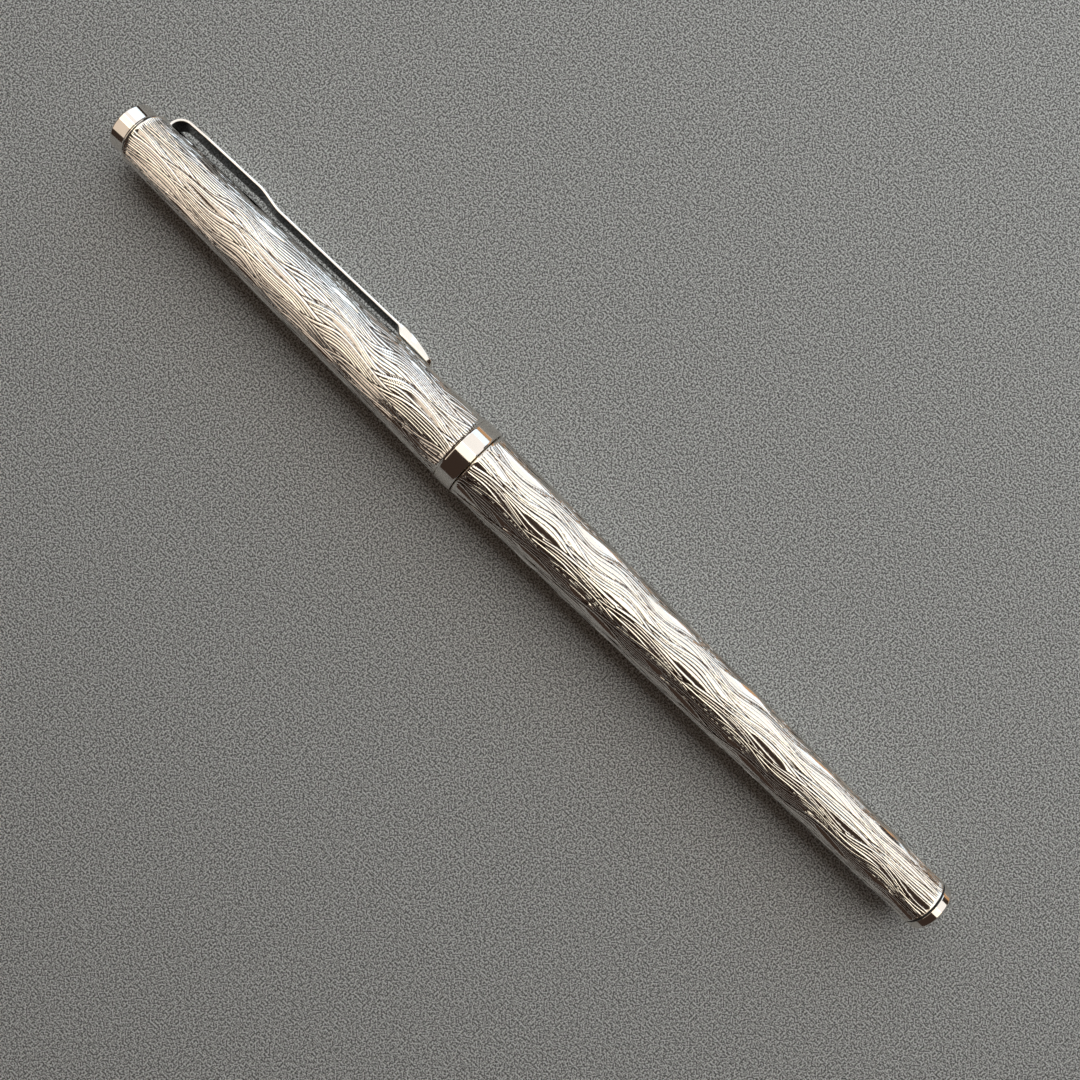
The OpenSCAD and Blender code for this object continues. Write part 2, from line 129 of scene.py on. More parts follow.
def rounded(outline, radius):
    """The outline with each corner made a small arc between two support points."""
    points = []
    count = len(outline)
    for i in range(count):
        corner = np.array(outline[i])
        arms = [np.array(outline[(i + k) % count]) - corner for k in (-1, 1)]
        lengths = [np.linalg.norm(arm) for arm in arms]
        back, on = (arm / length for arm, length in zip(arms, lengths))
        if corner[1] == 0 or back @ on < STRAIGHT:
            points.append(tuple(corner))
            continue
        reach = min(radius, CORNER_SHARE * min(lengths))
        start, end = corner + back * reach, corner + on * reach
        points.append(tuple(start + back * reach / 3))
        for t in np.linspace(0, 1, ARC_POINTS):
            bend = (1 - t) ** 2 * start + 2 * t * (1 - t) * corner + t ** 2 * end
            points.append(tuple(bend))
        points.append(tuple(end + on * reach / 3))
    return points


# ---- Meshes ----

def bridge(a, b):
    """Faces from ring a to ring b, each a list of vertex numbers.

    The longer ring has a whole multiple of the shorter one's vertices. One vertex is a tip."""
    if len(a) < len(b):
        return [face[::-1] for face in bridge(b, a)]
    n, m = len(a), len(b)
    if m == 1:
        return [(a[i], a[(i + 1) % n], b[0]) for i in range(n)]
    step = n // m
    faces = []
    for j in range(m):
        near = [a[(j * step + i) % n] for i in range(step + 1)]
        faces.append(near + [b[(j + 1) % m], b[j]])
    return faces


def new_piece(name, points, faces):
    """A smooth-shaded mesh object whose faces look outwards."""
    mesh = bpy.data.meshes.new(name)
    mesh.from_pydata(points, [], faces)
    shell = bmesh.new()
    shell.from_mesh(mesh)
    bmesh.ops.recalc_face_normals(shell, faces=shell.faces)
    shell.to_mesh(mesh)
    shell.free()
    mesh.shade_smooth()
    piece = bpy.data.objects.new(name, mesh)
    bpy.context.scene.collection.objects.link(piece)
    return piece


def lathe(name, outline, columns, relief=None):
    """A solid of revolution about the pen's axis.

    relief(s, turn) gives how far the surface is moved in or out along a ring."""
    turn = np.arange(columns) * FULL_TURN / columns
    points, rings = [], []
    for s, r in outline:
        tip = r == 0
        radii = 0 if tip else r + (relief(s, turn) if relief else 0)
        ring = on_pen(s, radii, turn[:1] if tip else turn)
        rings.append(list(range(len(points), len(points) + len(ring))))
        points.extend(ring.tolist())
    faces = []
    for a, b in zip(rings, rings[1:]):
        faces += bridge(a, b)
    if len(rings[0]) > 1:
        faces += bridge(rings[-1], rings[0])
    return new_piece(name, points, faces)


def swept(name, s, r, turn):
    """A closed piece from a grid of places on the pen, with one ring of them in each row."""
    points = on_pen(s, r, turn).tolist()
    rings = np.arange(len(points)).reshape(s.shape).tolist()
    faces = [rings[0], rings[-1]]
    for a, b in zip(rings, rings[1:]):
        faces += bridge(a, b)
    return new_piece(name, points, faces)


def mark_points(piece, name, values):
    """Gives each vertex a value that the piece's material reads by this name."""
    attribute = piece.data.attributes.new(name, "FLOAT", "POINT")
    attribute.data.foreach_set("value", values)


def stand_for(piece, node):
    """The piece takes a CAD node's place, with its body and its finish."""
    slot = nodes[node].data.materials[0].name
    body = next(name for name, members in bodies.items() if node in members)
    piece.data.materials.append(finishes[slot])
    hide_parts(node)
    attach(piece, body)


# ---- Bark engraving ----

INNER_STEP = 4        # the inside of a tube has one column for every four outside
ROW_WIDTH = 1.2       # distance round the tube from one row of scales to the next
ROW_SHIFT = 0.30      # how far each row starts ahead of the last, as a share of the wave
ARCH = 0.72           # rise of a scale's edge above its two feet
LEG_FALL = 1.245      # how far the edge falls away from its crest
LEG_BEND = 9          # and how soon
LINE_PITCH = 0.33     # distance between the engraved lines in a scale
LINE_DEPTH = 0.05
LINE_HALF_WIDTH = 0.08
LINE_TARNISH_AND_SHADE = 0.8    # how dark a line is beside the line along a scale's edge, in tarnish and painted shade
EDGE_DEPTH = 0.07     # the line along a scale's edge is cut deeper
LAND_CROWN = 0.014    # how much a land between two lines falls from its middle to its sides
RIM_WIDTH = 0.34      # the land along a scale's edge
LAND_TILT = 0.13      # spread of the slopes across the lands
LAND_TILTS = 12       # the lands of a row that each lean by their own amount
SCALE_START, SCALE_END = -0.95, 0.75   # reach of a scale from its crest, in waves
SCALE_ABOVE, SCALE_BELOW = 1.4, 4.0    # reach of a scale round the tube, from its feet
LENS_REACH = 0.62     # length of the plain lens in a scale, in waves
LENS_STEEPNESS = 1.4  # how soon a lens takes up its own tilt from its two ends
PLAIN_RIM = 0.25      # near the end of a tube the engraving fades out over this width
PLAIN_SHARE = 0.3     # and the rim beyond that, this share of the width, is quite plain
POCKET_LIP = 0.015    # half the width of the steep side of a sunk opening
WOBBLES = 5           # slow waves by which the whole engraving wanders
WOBBLE = 0.11         # how far each of them moves it round the tube


def eased(x):
    """Goes from 0 to 1 with a level start and end as x does."""
    x = np.clip(x, 0, 1)
    return x * x * (3 - 2 * x)


def bark_rows(girth, length, wave, rng):
    """The rows of scales round a tube, each a dict of its own random choices.

    foot is where the scales' feet stand round the tube, and pitch the distance between its
    lines. droop is how far the edge sags behind its crest, and flatness how level the lines
    before the crest are. The lens comes after lens_line lands, is up to lens_width broader than
    a land, and is broadest at lens_middle waves from the crest. tilts are the slopes across the
    lands."""
    count = round(girth / ROW_WIDTH)
    rows = []
    for k in range(count):
        row = {
            "foot": (k + rng.uniform(-0.3, 0.3)) * girth / count,
            "pitch": LINE_PITCH * rng.uniform(0.75, 1.35),
            "arch": ARCH * rng.uniform(0.45, 1.25),
            "droop": rng.uniform(0, 1),
            "flatness": rng.uniform(0.1, 0.8),
            "lens_line": int(rng.integers(0, 4)),
            "lens_width": rng.uniform(0, 0.65),
            "lens_middle": rng.uniform(-0.15, 0.25),
            "lens_tilt": rng.choice([-1, 1]) * rng.uniform(0.15, 0.5),
            "tilts": rng.normal(0, LAND_TILT, LAND_TILTS),
        }
        phase = (k * ROW_SHIFT + rng.uniform(-0.09, 0.09)) % 1
        # two scales more than fit at each end, as a scale reaches beyond its crest
        crests = np.arange(phase - 2, length / wave + 2) * wave
        row["scales"] = [
            {
                "crest": crest + rng.normal(0, 0.03) * wave,
                "arch": row["arch"] * rng.normal(1, 0.08),
                "tilt": rng.normal(0, 0.07),
                "fall": rng.normal(0, 0.05),
            }
            for crest in crests
        ]
        rows.append(row)
    return rows


def scale_relief(row, scale, u, below):
    """Height and groove share inside one scale.

    u is the distance from the crest in waves, and below the distance round the tube from the
    line that joins the scale's feet. A scale covers what lies under its arched edge, which falls
    from its crest along a hyperbola, or behind the crest partly along a cosine. One land follows
    the edge, and the lines under it are flatter on the side of the crest where u < 0."""
    leg = 1 - LEG_FALL * (np.sqrt(1 + LEG_BEND * u * u) - 1)
    sagging = np.where(u < 0.5, 0.5 + 0.5 * np.cos(FULL_TURN * np.clip(u, 0, 0.5)), 0.5 - u)
    arch = np.where(u > 0, leg + (sagging - leg) * row["droop"], leg)
    inside = below + scale["arch"] * arch
    flatter = np.where(u < 0, row["flatness"] * (1 - leg), 0)
    under = inside + scale["arch"] * flatter - RIM_WIDTH

    pitch, first = row["pitch"], row["lens_line"]
    bulge = np.clip(np.cos(math.pi * (u - row["lens_middle"]) / LENS_REACH), 0, 1)
    lens = bulge * row["lens_width"]
    past = under - first * pitch
    in_rim = inside < RIM_WIDTH
    in_lens = ~in_rim & (past >= 0) & (past < pitch + lens)
    line = np.where(past < 0, under / pitch, first + 1 + (past - lens - pitch) / pitch)
    line = np.where(in_lens, first + past / (pitch + lens), line)
    line = np.where(in_rim, inside / RIM_WIDTH - 1, line)
    land = np.floor(line)
    share = line - land
    width = np.where(in_lens, pitch + lens, np.where(in_rim, RIM_WIDTH, pitch))
    near_line = np.minimum(share, 1 - share) * width
    near_line = np.where(in_rim, near_line, np.minimum(near_line, inside - RIM_WIDTH))
    groove = 1 - eased(near_line / LINE_HALF_WIDTH)
    groove = np.where(inside < 0, 0, groove)
    edge = 1 - eased(np.abs(inside) / LINE_HALF_WIDTH)

    tilt = row["tilts"][np.clip(land + 1, 0, LAND_TILTS - 1).astype(int)]
    lens_share = eased(bulge * LENS_STEEPNESS)
    tilt = np.where(in_lens, tilt + (row["lens_tilt"] - tilt) * lens_share, tilt)
    height = (tilt + scale["tilt"]) * (share - 0.5) * width
    height -= LAND_CROWN * (2 * share - 1) ** 2
    height += scale["fall"] * u
    height = np.where(inside < 0, 0, height) - np.maximum(LINE_DEPTH * groove, EDGE_DEPTH * edge)
    return inside, height, np.maximum(groove * LINE_TARNISH_AND_SHADE, edge)


def bark(s, around, girth, wave, seed):
    """Height and groove share of the engraving over a grid of places on a tube.

    Each row of scales lies over the row before it, and each scale over the one before it."""
    rng = np.random.default_rng(seed)
    start, length = s.min(), s.max() - s.min()
    rows = bark_rows(girth, length, wave, rng)
    turn = around / girth * FULL_TURN
    drift = np.zeros_like(s)
    for _ in range(WOBBLES):
        round_tube = rng.integers(-4, 5)     # whole waves, so that they close on themselves
        along_tube = rng.uniform(0.3, 1.1)   # radians to a millimetre
        start_at = rng.uniform(0, 6)
        drift += WOBBLE * np.sin(round_tube * turn + along_tube * s + start_at)
    around = around + drift
    height, groove = np.zeros_like(s), np.zeros_like(s)
    for lap in (-1, 0, 1):  # a row that crosses the seam of the tube goes on beyond it
        for row in rows:
            below = around - row["foot"] - lap * girth
            band = (below > -SCALE_ABOVE) & (below < SCALE_BELOW)
            if not band.any():
                continue
            for scale in row["scales"]:
                u = (s - start - scale["crest"]) / wave
                spot = band & (u > SCALE_START) & (u < SCALE_END)
                if not spot.any():
                    continue
                inside, high, cut = scale_relief(row, scale, u[spot], below[spot])
                over = inside >= 0
                beside = ~over & (inside > -LINE_HALF_WIDTH)
                high = np.where(beside, np.minimum(height[spot], high), high)
                cut = np.where(beside, np.maximum(groove[spot], cut), cut)
                keep = over | beside
                height[spot] = np.where(keep, high, height[spot])
                groove[spot] = np.where(keep, cut, groove[spot])
    return height, groove


WALL_SLACK = 0.1      # a corner is on the outer side if nothing is this much farther out
WALL_REACH = 4        # within this distance of it


def outer_side(outline, start, end):
    """The corners of the outline between start and end that nothing lies outside of."""
    def outermost(p):
        near = [q[1] for q in outline if abs(q[0] - p[0]) < WALL_REACH]
        return max(near) <= p[1] + WALL_SLACK

    return sorted(p for p in outline if start - SAME < p[0] < end + SAME and outermost(p))


def bark_tube(node, start, end, columns, rows, wave, seed, pocket=None):
    """An engraved tube in place of a CAD node: a fine mesh outside and a coarse one inside.

    The engraving runs from start to end. pocket is the middle, length, width and depth of a sunk
    opening under the clip."""
    outline = outline_of(node)
    side = outer_side(outline, start, end)
    first, last = outline.index(side[0]), outline.index(side[-1])
    step = 1 if outline[(first + 1) % len(outline)] in side else -1
    rest = []
    i = (last + step) % len(outline)
    while i != first:
        rest.append(outline[i])
        i = (i + step) % len(outline)

    s = np.linspace(side[0][0], side[-1][0], rows)
    if pocket:
        middle, length, width, depth = pocket
        ends = [middle + k * length / 2 for k in (-1, 1)]
        lips = [lip + d for lip in ends for d in (-POCKET_LIP, POCKET_LIP)]
        s = np.unique(np.concatenate([s, lips]))
    turn = np.arange(columns) * FULL_TURN / columns
    radius = np.interp(s, *zip(*side))[:, None]
    girth = FULL_TURN * radius.mean()
    s_grid, turn_grid = np.meshgrid(s, turn, indexing="ij")
    height, groove = bark(s_grid, turn_grid * girth / FULL_TURN, girth, wave, seed)
    from_start, from_end = (s_grid - s[0]) / PLAIN_RIM, (s[-1] - s_grid) / PLAIN_RIM
    fade = eased(from_start - PLAIN_SHARE) * eased(from_end - PLAIN_SHARE)
    height, groove = (height - height.max()) * fade, groove * fade
    if pocket:
        across = radius * (turn_grid - CLIP_TURN - FULL_TURN)
        sunk = (np.abs(s_grid - middle) < length / 2) & (np.abs(across) < width / 2)
        # painted shade and tarnish: the sunk opening under the clip gets the full dark colour of the
        # engraved lines
        height = np.where(sunk, -depth, height)
        groove = np.where(sunk, 1, groove)

    points = on_pen(s_grid, radius + height, turn_grid).tolist()
    grid = np.arange(len(points)).reshape(s_grid.shape)
    a, b = grid[:-1], np.roll(grid, -1, 1)[:-1]
    d, c = grid[1:], np.roll(grid, -1, 1)[1:]
    flat = height.ravel()
    along = (np.abs(flat[a] - flat[c]) < np.abs(flat[b] - flat[d]))[..., None]
    one = np.where(along, np.stack([a, b, c], -1), np.stack([a, b, d], -1))
    two = np.where(along, np.stack([a, c, d], -1), np.stack([b, c, d], -1))
    faces = np.concatenate([one.reshape(-1, 3), two.reshape(-1, 3)]).tolist()

    rings = [grid[-1].tolist()]
    for k, (ring_s, ring_r) in enumerate(rest):
        fine = k in (0, len(rest) - 1)
        ring_turn = turn if fine else turn[::INNER_STEP]
        rings.append(list(range(len(points), len(points) + len(ring_turn))))
        points += on_pen(ring_s, ring_r, ring_turn).tolist()
    rings.append(grid[0].tolist())
    for ring, onward in zip(rings, rings[1:]):
        faces += bridge(ring, onward)
    tube = new_piece(node + "_engraved", points, faces)
    mark_points(tube, "groove", np.pad(groove.ravel(), (0, len(points) - groove.size)))
    mark_corners(tube.data, rings)
    stand_for(tube, node)


def mark_corners(mesh, rings):
    """Makes the edges of these rings sharp, so that a flat end is shaded flat."""
    ring_of = {vertex: k for k, ring in enumerate(rings) for vertex in ring}
    for edge in mesh.edges:
        a, b = (ring_of.get(i, -1) for i in edge.vertices)
        edge.use_edge_sharp = a == b and a >= 0


# ---- Materials ----

def node_adder(tree):
    """A function that adds a shader node to this tree with its inputs set or linked."""
    def add(kind, **inputs):
        node = tree.nodes.new("ShaderNode" + kind)
        for name, value in inputs.items():
            socket = node.inputs[name.replace("_", " ")]
            if isinstance(value, bpy.types.NodeSocket):
                tree.links.new(value, socket)
            else:
                socket.default_value = value
        return node

    return add


def new_material(slot, colour, metallic, roughness):
    """A material with a Principled shader, and two short helpers for its node tree."""
    material = bpy.data.materials.new(slot)
    material.use_nodes = True
    tree = material.node_tree
    shader = tree.nodes["Principled BSDF"]
    shader.inputs["Base Color"].default_value = (*colour, 1)
    shader.inputs["Metallic"].default_value = metallic
    shader.inputs["Roughness"].default_value = roughness

    def link(output, socket):
        tree.links.new(output, shader.inputs[socket])

    return material, node_adder(tree), link


def grain(add, along, across, detail=3.0):
    """Noise whose grains are this long along the pen and this wide across it, in millimetres."""
    place = add("TexCoord").outputs["Object"]
    stretch = (1 / (along * MM), 1 / (across * MM), 1 / (across * MM))
    mapping = add("Mapping", Vector=place, Scale=stretch)
    return add("TexNoise", Vector=mapping.outputs["Vector"], Scale=1.0, Detail=detail)


def ramp(add, value, low, high, dark, light):
    """A value taken from low..high to dark..light."""
    spread = add("MapRange", Value=value, From_Min=low, From_Max=high, To_Min=dark, To_Max=light)
    return spread.outputs["Result"]


def blend_colour(add, share, first, second):
    """A colour that goes from first to second with share."""
    mix = add("Mix")
    mix.data_type = "RGBA"
    colours = [socket for socket in mix.inputs if socket.type == "RGBA"]
    colours[0].default_value = (*first, 1)
    colours[1].default_value = (*second, 1)
    mix.id_data.links.new(share, mix.inputs["Factor"])
    return next(socket for socket in mix.outputs if socket.type == "RGBA")


def marked(add, name):
    """The value that the vertices of a piece have by this name."""
    attribute = add("Attribute")
    attribute.attribute_name = name
    return attribute.outputs["Fac"]


def bump(add, height, depth):
    """A normal from a height of 0 to 1 that stands for this many millimetres."""
    return add("Bump", Height=height, Strength=1.0, Distance=depth * MM).outputs["Normal"]


def engraved_silver():
    """Silver with polished lands, and tarnish with painted shade in the engraved lines."""
    silver, tarnish_and_painted_shade = (0.92, 0.89, 0.84), (0.05, 0.03, 0.025)
    material, add, link = new_material("engraved_silver", silver, 1.0, 0.15)
    # tarnish with painted shade: the engraved lines are darkened in colour where the groove
    # attribute is high
    share = ramp(add, marked(add, "groove"), 0.2, 0.65, 0.0, 1.0)
    link(blend_colour(add, share, silver, tarnish_and_painted_shade), "Base Color")
    scratches = grain(add, 2.5, 0.12).outputs["Fac"]
    link(ramp(add, scratches, 0.3, 0.7, 0.07, 0.13), "Roughness")
    link(bump(add, grain(add, 1.6, 0.3).outputs["Fac"], 0.006), "Normal")
    return material


def polished(slot, colour, along, across):
    """Mirror polish with faint handling marks along or round the piece."""
    material, add, link = new_material(slot, colour, 1.0, 0.06)
    smears = grain(add, 1.5, 1.2).outputs["Fac"]
    link(ramp(add, smears, 0.35, 0.7, 0.04, 0.10), "Roughness")
    warm = tuple(0.93 * c for c in colour)
    link(blend_colour(add, smears, colour, warm), "Base Color")
    link(bump(add, grain(add, along, across).outputs["Fac"], 0.0012), "Normal")
    return material


def clip_silver():
    """The clip is polished outside, and painted black on the side that looks at the cap, a painted
    reflection of the shade under the pen.
    """
    silver, tarnish_and_painted_shade = (0.90, 0.87, 0.82), (0.035, 0.03, 0.028)
    material, add, link = new_material("clip_silver", silver, 1.0, 0.06)
    # painted shade and reflection: the side that looks at the cap is blended to near black
    link(blend_colour(add, marked(add, "inside"), silver, tarnish_and_painted_shade), "Base Color")
    smears = grain(add, 1.5, 0.3).outputs["Fac"]
    link(ramp(add, smears, 0.35, 0.7, 0.05, 0.14), "Roughness")
    link(bump(add, grain(add, 4.0, 0.1).outputs["Fac"], 0.0012), "Normal")
    return material


def moulded(slot, colour, roughness, skin):
    """Moulded plastic or rubber with a fine skin and slightly uneven gloss."""
    material, add, link = new_material(slot, colour, 0.0, roughness)
    cloud = grain(add, 2.0, 2.0).outputs["Fac"]
    lighter = tuple(1.25 * c for c in colour)
    link(blend_colour(add, cloud, colour, lighter), "Base Color")
    link(ramp(add, cloud, 0.3, 0.7, roughness * 0.85, roughness * 1.15), "Roughness")
    link(bump(add, grain(add, 0.12, 0.12).outputs["Fac"], skin), "Normal")
    return material


def turned(slot, colour, roughness, pitch):
    """Turned or drawn metal: tool marks run round the piece at this pitch."""
    material, add, link = new_material(slot, colour, 1.0, roughness)
    marks = grain(add, pitch, 6.0, detail=2.0).outputs["Fac"]
    darker = tuple(0.8 * c for c in colour)
    link(blend_colour(add, marks, darker, colour), "Base Color")
    link(ramp(add, marks, 0.3, 0.7, roughness * 0.7, roughness * 1.3), "Roughness")
    link(bump(add, marks, 0.004), "Normal")
    return material


def ink_fibre():
    """Matt fibre in long strands, soaked with ink."""
    material, add, link = new_material("ink_fibre", (0.05, 0.05, 0.10), 0.0, 0.9)
    strands = grain(add, 4.0, 0.06).outputs["Fac"]
    link(blend_colour(add, strands, (0.02, 0.02, 0.05), (0.10, 0.10, 0.17)), "Base Color")
    link(bump(add, strands, 0.03), "Normal")
    return material


finishes = {
    "engraved_silver": engraved_silver(),
    "polished_silver": polished("polished_silver", (0.86, 0.82, 0.77), 0.1, 3.0),
    "clip_silver": clip_silver(),
    "black_rubber": moulded("black_rubber", (0.012, 0.012, 0.013), 0.75, 0.006),
    "black_plastic": moulded("black_plastic", (0.018, 0.018, 0.02), 0.45, 0.004),
    "grip_plastic": moulded("grip_plastic", (0.010, 0.010, 0.012), 0.22, 0.001),
    "white_plastic": moulded("white_plastic", (0.70, 0.70, 0.68), 0.4, 0.003),
    "brass": turned("brass", (0.78, 0.58, 0.30), 0.25, 0.12),
    "refill_steel": turned("refill_steel", (0.60, 0.60, 0.61), 0.3, 0.3),
    "point_steel": turned("point_steel", (0.66, 0.66, 0.67), 0.12, 0.08),
    "spring_steel": turned("spring_steel", (0.55, 0.55, 0.56), 0.25, 0.2),
    "ink_fibre": ink_fibre(),
}

# ---- Turned pieces ----

BALL_S = sum(stretch_of("writing_ball")) / 2
SOCKET_R = 0.45
BALL_RINGS, BALL_COLUMNS = 33, 64
TURNED = {
    # node: radius of its rounded corners and number of columns
    "cap_end_button": (0.08, 160),
    "cap_end_washer": (0.05, 160),
    "cap_band": (0.07, 256),
    "inner_cap": (0.08, 96),
    "section_nose": (0.08, 160),
    "grip_section": (0.10, 192),
    "section_ring": (0.08, 192),
    "refill_tube": (0.05, 96),
    "refill_front": (0.08, 96),
    "refill_point": (0.03, 96),
    "refill_end_plug": (0.08, 96),
    "ink_reservoir": (0.10, 64),
    "ink_wick": (0.05, 48),
    "spring_cup": (0.10, 96),
    "barrel_bush": (0.08, 128),
    "barrel_tail_plug": (0.10, 96),
    "barrel_end_washer": (0.05, 160),
    "barrel_end_button": (0.08, 160),
}


def turned_pieces():
    """The plain turned nodes, with rounded corners. The point's ball socket is left out."""
    for node, (radius, columns) in TURNED.items():
        socket = (BALL_S, SOCKET_R) if node == "refill_point" else None
        outline = rounded(outline_of(node, socket), radius)
        stand_for(lathe(node + "_turned", outline, columns), node)


def writing_ball():
    """A round ball with a tip at both ends of its outline."""
    low, high = stretch_of("writing_ball")
    radius = (high - low) / 2
    angles = np.linspace(0, math.pi, BALL_RINGS)
    arc = [(BALL_S - radius * math.cos(q), radius * math.sin(q)) for q in angles]
    arc[0], arc[-1] = (low, 0), (high, 0)
    stand_for(lathe("writing_ball_ground", arc, BALL_COLUMNS), "writing_ball")


THREAD_PITCH = 0.75
THREAD_RELIEF = 0.16
THREAD_LONGEST = 6                    # the thread starts within this distance of the back end
THREAD_STEP = 0.05                    # distance between the rings on it
THREAD_PLAIN = 0.3                    # the plain stretch left at the back end
THREAD_FADE = 0.4                     # it fades in and out over this length
THREAD_RUNOUT = 0.2                   # and has gone this far before the back end
THREAD_FLANK = 1.2                    # how steep its sides are
CONNECTOR_CORNER, CONNECTOR_COLUMNS = 0.06, 160


def section_connector():
    """The connector with a real thread cut into its back end."""
    outline = outline_of("section_connector")
    end = max(s for s, r in outline)
    thread_r = max(r for s, r in outline if end - 1 < s < end - THREAD_STEP)
    on_top = thread_r - SAME
    start = min(s for s, r in outline if r > on_top and s > end - THREAD_LONGEST)
    cut = rounded(outline, CONNECTOR_CORNER)
    top = [i for i, (s, r) in enumerate(cut) if start < s < end - THREAD_PLAIN and r > on_top]
    fine_s = np.arange(start + 2 * THREAD_STEP, end - THREAD_PLAIN - THREAD_STEP, THREAD_STEP)
    fine = [(s, thread_r) for s in fine_s]
    if cut[top[0]][0] > cut[top[-1]][0]:
        fine.reverse()
    cut[top[0]:top[-1] + 1] = fine

    def relief(s, turn):
        if abs(s - (start + end) / 2) > (end - start) / 2 - THREAD_STEP:
            return 0
        ridge = np.abs((s / THREAD_PITCH - turn / FULL_TURN) % 1 * 2 - 1)
        fade_in = eased((s - start) / THREAD_FADE)
        fade_out = eased((end - THREAD_RUNOUT - s) / THREAD_FADE)
        return -THREAD_RELIEF * eased(ridge * THREAD_FLANK) * (fade_in * fade_out)

    connector = lathe("section_connector_threaded", cut, CONNECTOR_COLUMNS, relief)
    stand_for(connector, "section_connector")


# ---- Spring ----

WIRE_D = 0.44
OPEN_TURNS, CLOSED_TURNS = 7, 1       # closed turns are counted at each end
TURN_STEPS, WIRE_SIDES = 48, 12


def refill_spring():
    """The spring as a round wire, on a mesh of its own."""
    start, end = stretch_of("refill_spring")
    low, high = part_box("refill_spring")
    coil_r = (high.z - low.z) / 2 / MM - WIRE_D / 2
    turns = np.arange(0, OPEN_TURNS + 2 * CLOSED_TURNS + 0.001, 1 / TURN_STEPS)[:, None]
    first, last = start + WIRE_D / 2, end - WIRE_D / 2
    marks = [0, CLOSED_TURNS, OPEN_TURNS + CLOSED_TURNS, OPEN_TURNS + 2 * CLOSED_TURNS]
    middle = np.interp(turns, marks, [first, first + WIRE_D, last - WIRE_D, last])
    q = np.arange(WIRE_SIDES) * FULL_TURN / WIRE_SIDES
    s, r = middle + WIRE_D / 2 * np.sin(q), coil_r + WIRE_D / 2 * np.cos(q)
    spring = swept("refill_spring_wound", s, r, turns * FULL_TURN)
    stand_for(spring, "refill_spring")
    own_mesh(spring)


# ---- Clip ----

# (s, width of the strip there), with the first and last width kept beyond them
CLIP_WIDTHS = [(4.6, 2.4), (7.5, 3.0), (16.2, 3.0), (19.8, 2.5), (39.2, 2.2)]
STRIP_T = 0.4
HOOK_STEP, STRIP_STEP = 0.1, 0.2
HOOK_R, HOOK_BEND_R, BEND_R = 2.85, 0.3, 1.5
ROOT_S, HOOK_END = 3.5, 5.2
PLATE = (5.0, 5.07), (16.2, 5.40)     # ends of its middle line as (s, r)
ARM = (19.8, 4.95), (39.2, 5.37)
PAD_START, PAD_CREST, PAD_END = 39.2, 40.3, 45.5
PAD_FLOOR, PAD_WIDTH = 4.45, 3.2      # its underside lies round the cap at this radius
PAD_REACH, PAD_TIP_REACH = 6.0, 4.95  # the pad's reach towards -Y at its crest and its tip
PAD_FALL = 1.6                        # a greater number keeps the crest's reach for longer
PAD_STATIONS = 60
TIP_LENGTH, TIP_SHARE = 0.5, 0.3      # the tip thins over this length to this share
SHADE_RISE, SHADE_FROM = 3, 1.6   # how the painted shade sets in round the section
SECTION_POINTS = 48
STRIP_SQUARENESS, PAD_SQUARENESS = 9.0, 6.0


def strip_stations():
    """The bent strip as stations along it: its middle line as (s, r), outward way and half width."""
    hook = [(s, HOOK_R) for s in np.arange(HOOK_END, ROOT_S + HOOK_BEND_R, -HOOK_STEP)]
    q = np.radians(np.arange(0, 91, 15))
    inner_bend = zip(ROOT_S + HOOK_BEND_R * (1 - np.sin(q)), HOOK_R + HOOK_BEND_R * (1 - np.cos(q)))
    q = np.radians(np.arange(0, 91, 6))
    bend_r = PLATE[0][1] - BEND_R
    outer_bend = zip(ROOT_S + BEND_R * (1 - np.cos(q)), bend_r + BEND_R * np.sin(q))
    s = np.arange(PLATE[0][0] + STRIP_STEP, PAD_START, STRIP_STEP)
    plate = np.interp(s, *zip(*PLATE))
    arm = np.interp(s, *zip(*ARM))
    crank = eased((s - PLATE[1][0]) / (ARM[0][0] - PLATE[1][0]))
    strip = zip(s, plate + (arm - plate) * crank)
    line = np.array([*hook, *inner_bend, *outer_bend, *strip])

    way = np.gradient(line, axis=0)
    way /= np.linalg.norm(way, axis=1)[:, None]
    half = np.interp(line[:, 0], *zip(*CLIP_WIDTHS)) / 2
    return line, np.stack([-way[:, 1], way[:, 0]], -1), half


def pad_stations():
    """Stations of the thick end: s, radius of its underside and of its crest, half width, and
    how far it has swelled from the strip to the full pad, from 0 to 1."""
    s = PAD_START + (PAD_END - PAD_START) * np.sin(np.linspace(0, 1, PAD_STATIONS) * math.pi / 2)
    length = (PAD_END - PAD_START) / 2
    rounding = np.sqrt(1 - np.clip((s - PAD_START) / length - 1, 0, 1) ** 2)
    neck = np.interp(PAD_START, *zip(*CLIP_WIDTHS)) / 2
    half = (neck + (PAD_WIDTH / 2 - neck) * eased((s - PAD_START) / length)) * rounding
    past = np.clip((s - PAD_CREST) / (PAD_END - PAD_CREST), 0, 1)
    reach = PAD_REACH - (PAD_REACH - PAD_TIP_REACH) * past ** PAD_FALL
    roll = abs(CLIP_TURN) - math.pi / 2
    crest = (reach - half * math.sin(roll)) / math.cos(roll)
    swell = eased((s - PAD_START) / (PAD_CREST - PAD_START))
    outer = ARM[1][1] + STRIP_T / 2
    inner = ARM[1][1] - STRIP_T / 2
    outer = outer + (crest - outer) * swell
    inner = inner + (PAD_FLOOR - inner) * swell
    tip = np.sqrt(np.clip((PAD_END - s) / TIP_LENGTH, 0, 1))
    outer = inner + (outer - inner) * (TIP_SHARE + (1 - TIP_SHARE) * tip)
    return s, inner, outer, half, swell


def section(squareness):
    """A rounded section as (across, out) from -1 to 1, squarer for a greater number."""
    q = np.arange(SECTION_POINTS) * FULL_TURN / SECTION_POINTS
    return [np.sign(f) * np.abs(f) ** (2 / squareness) for f in (np.cos(q), np.sin(q))]


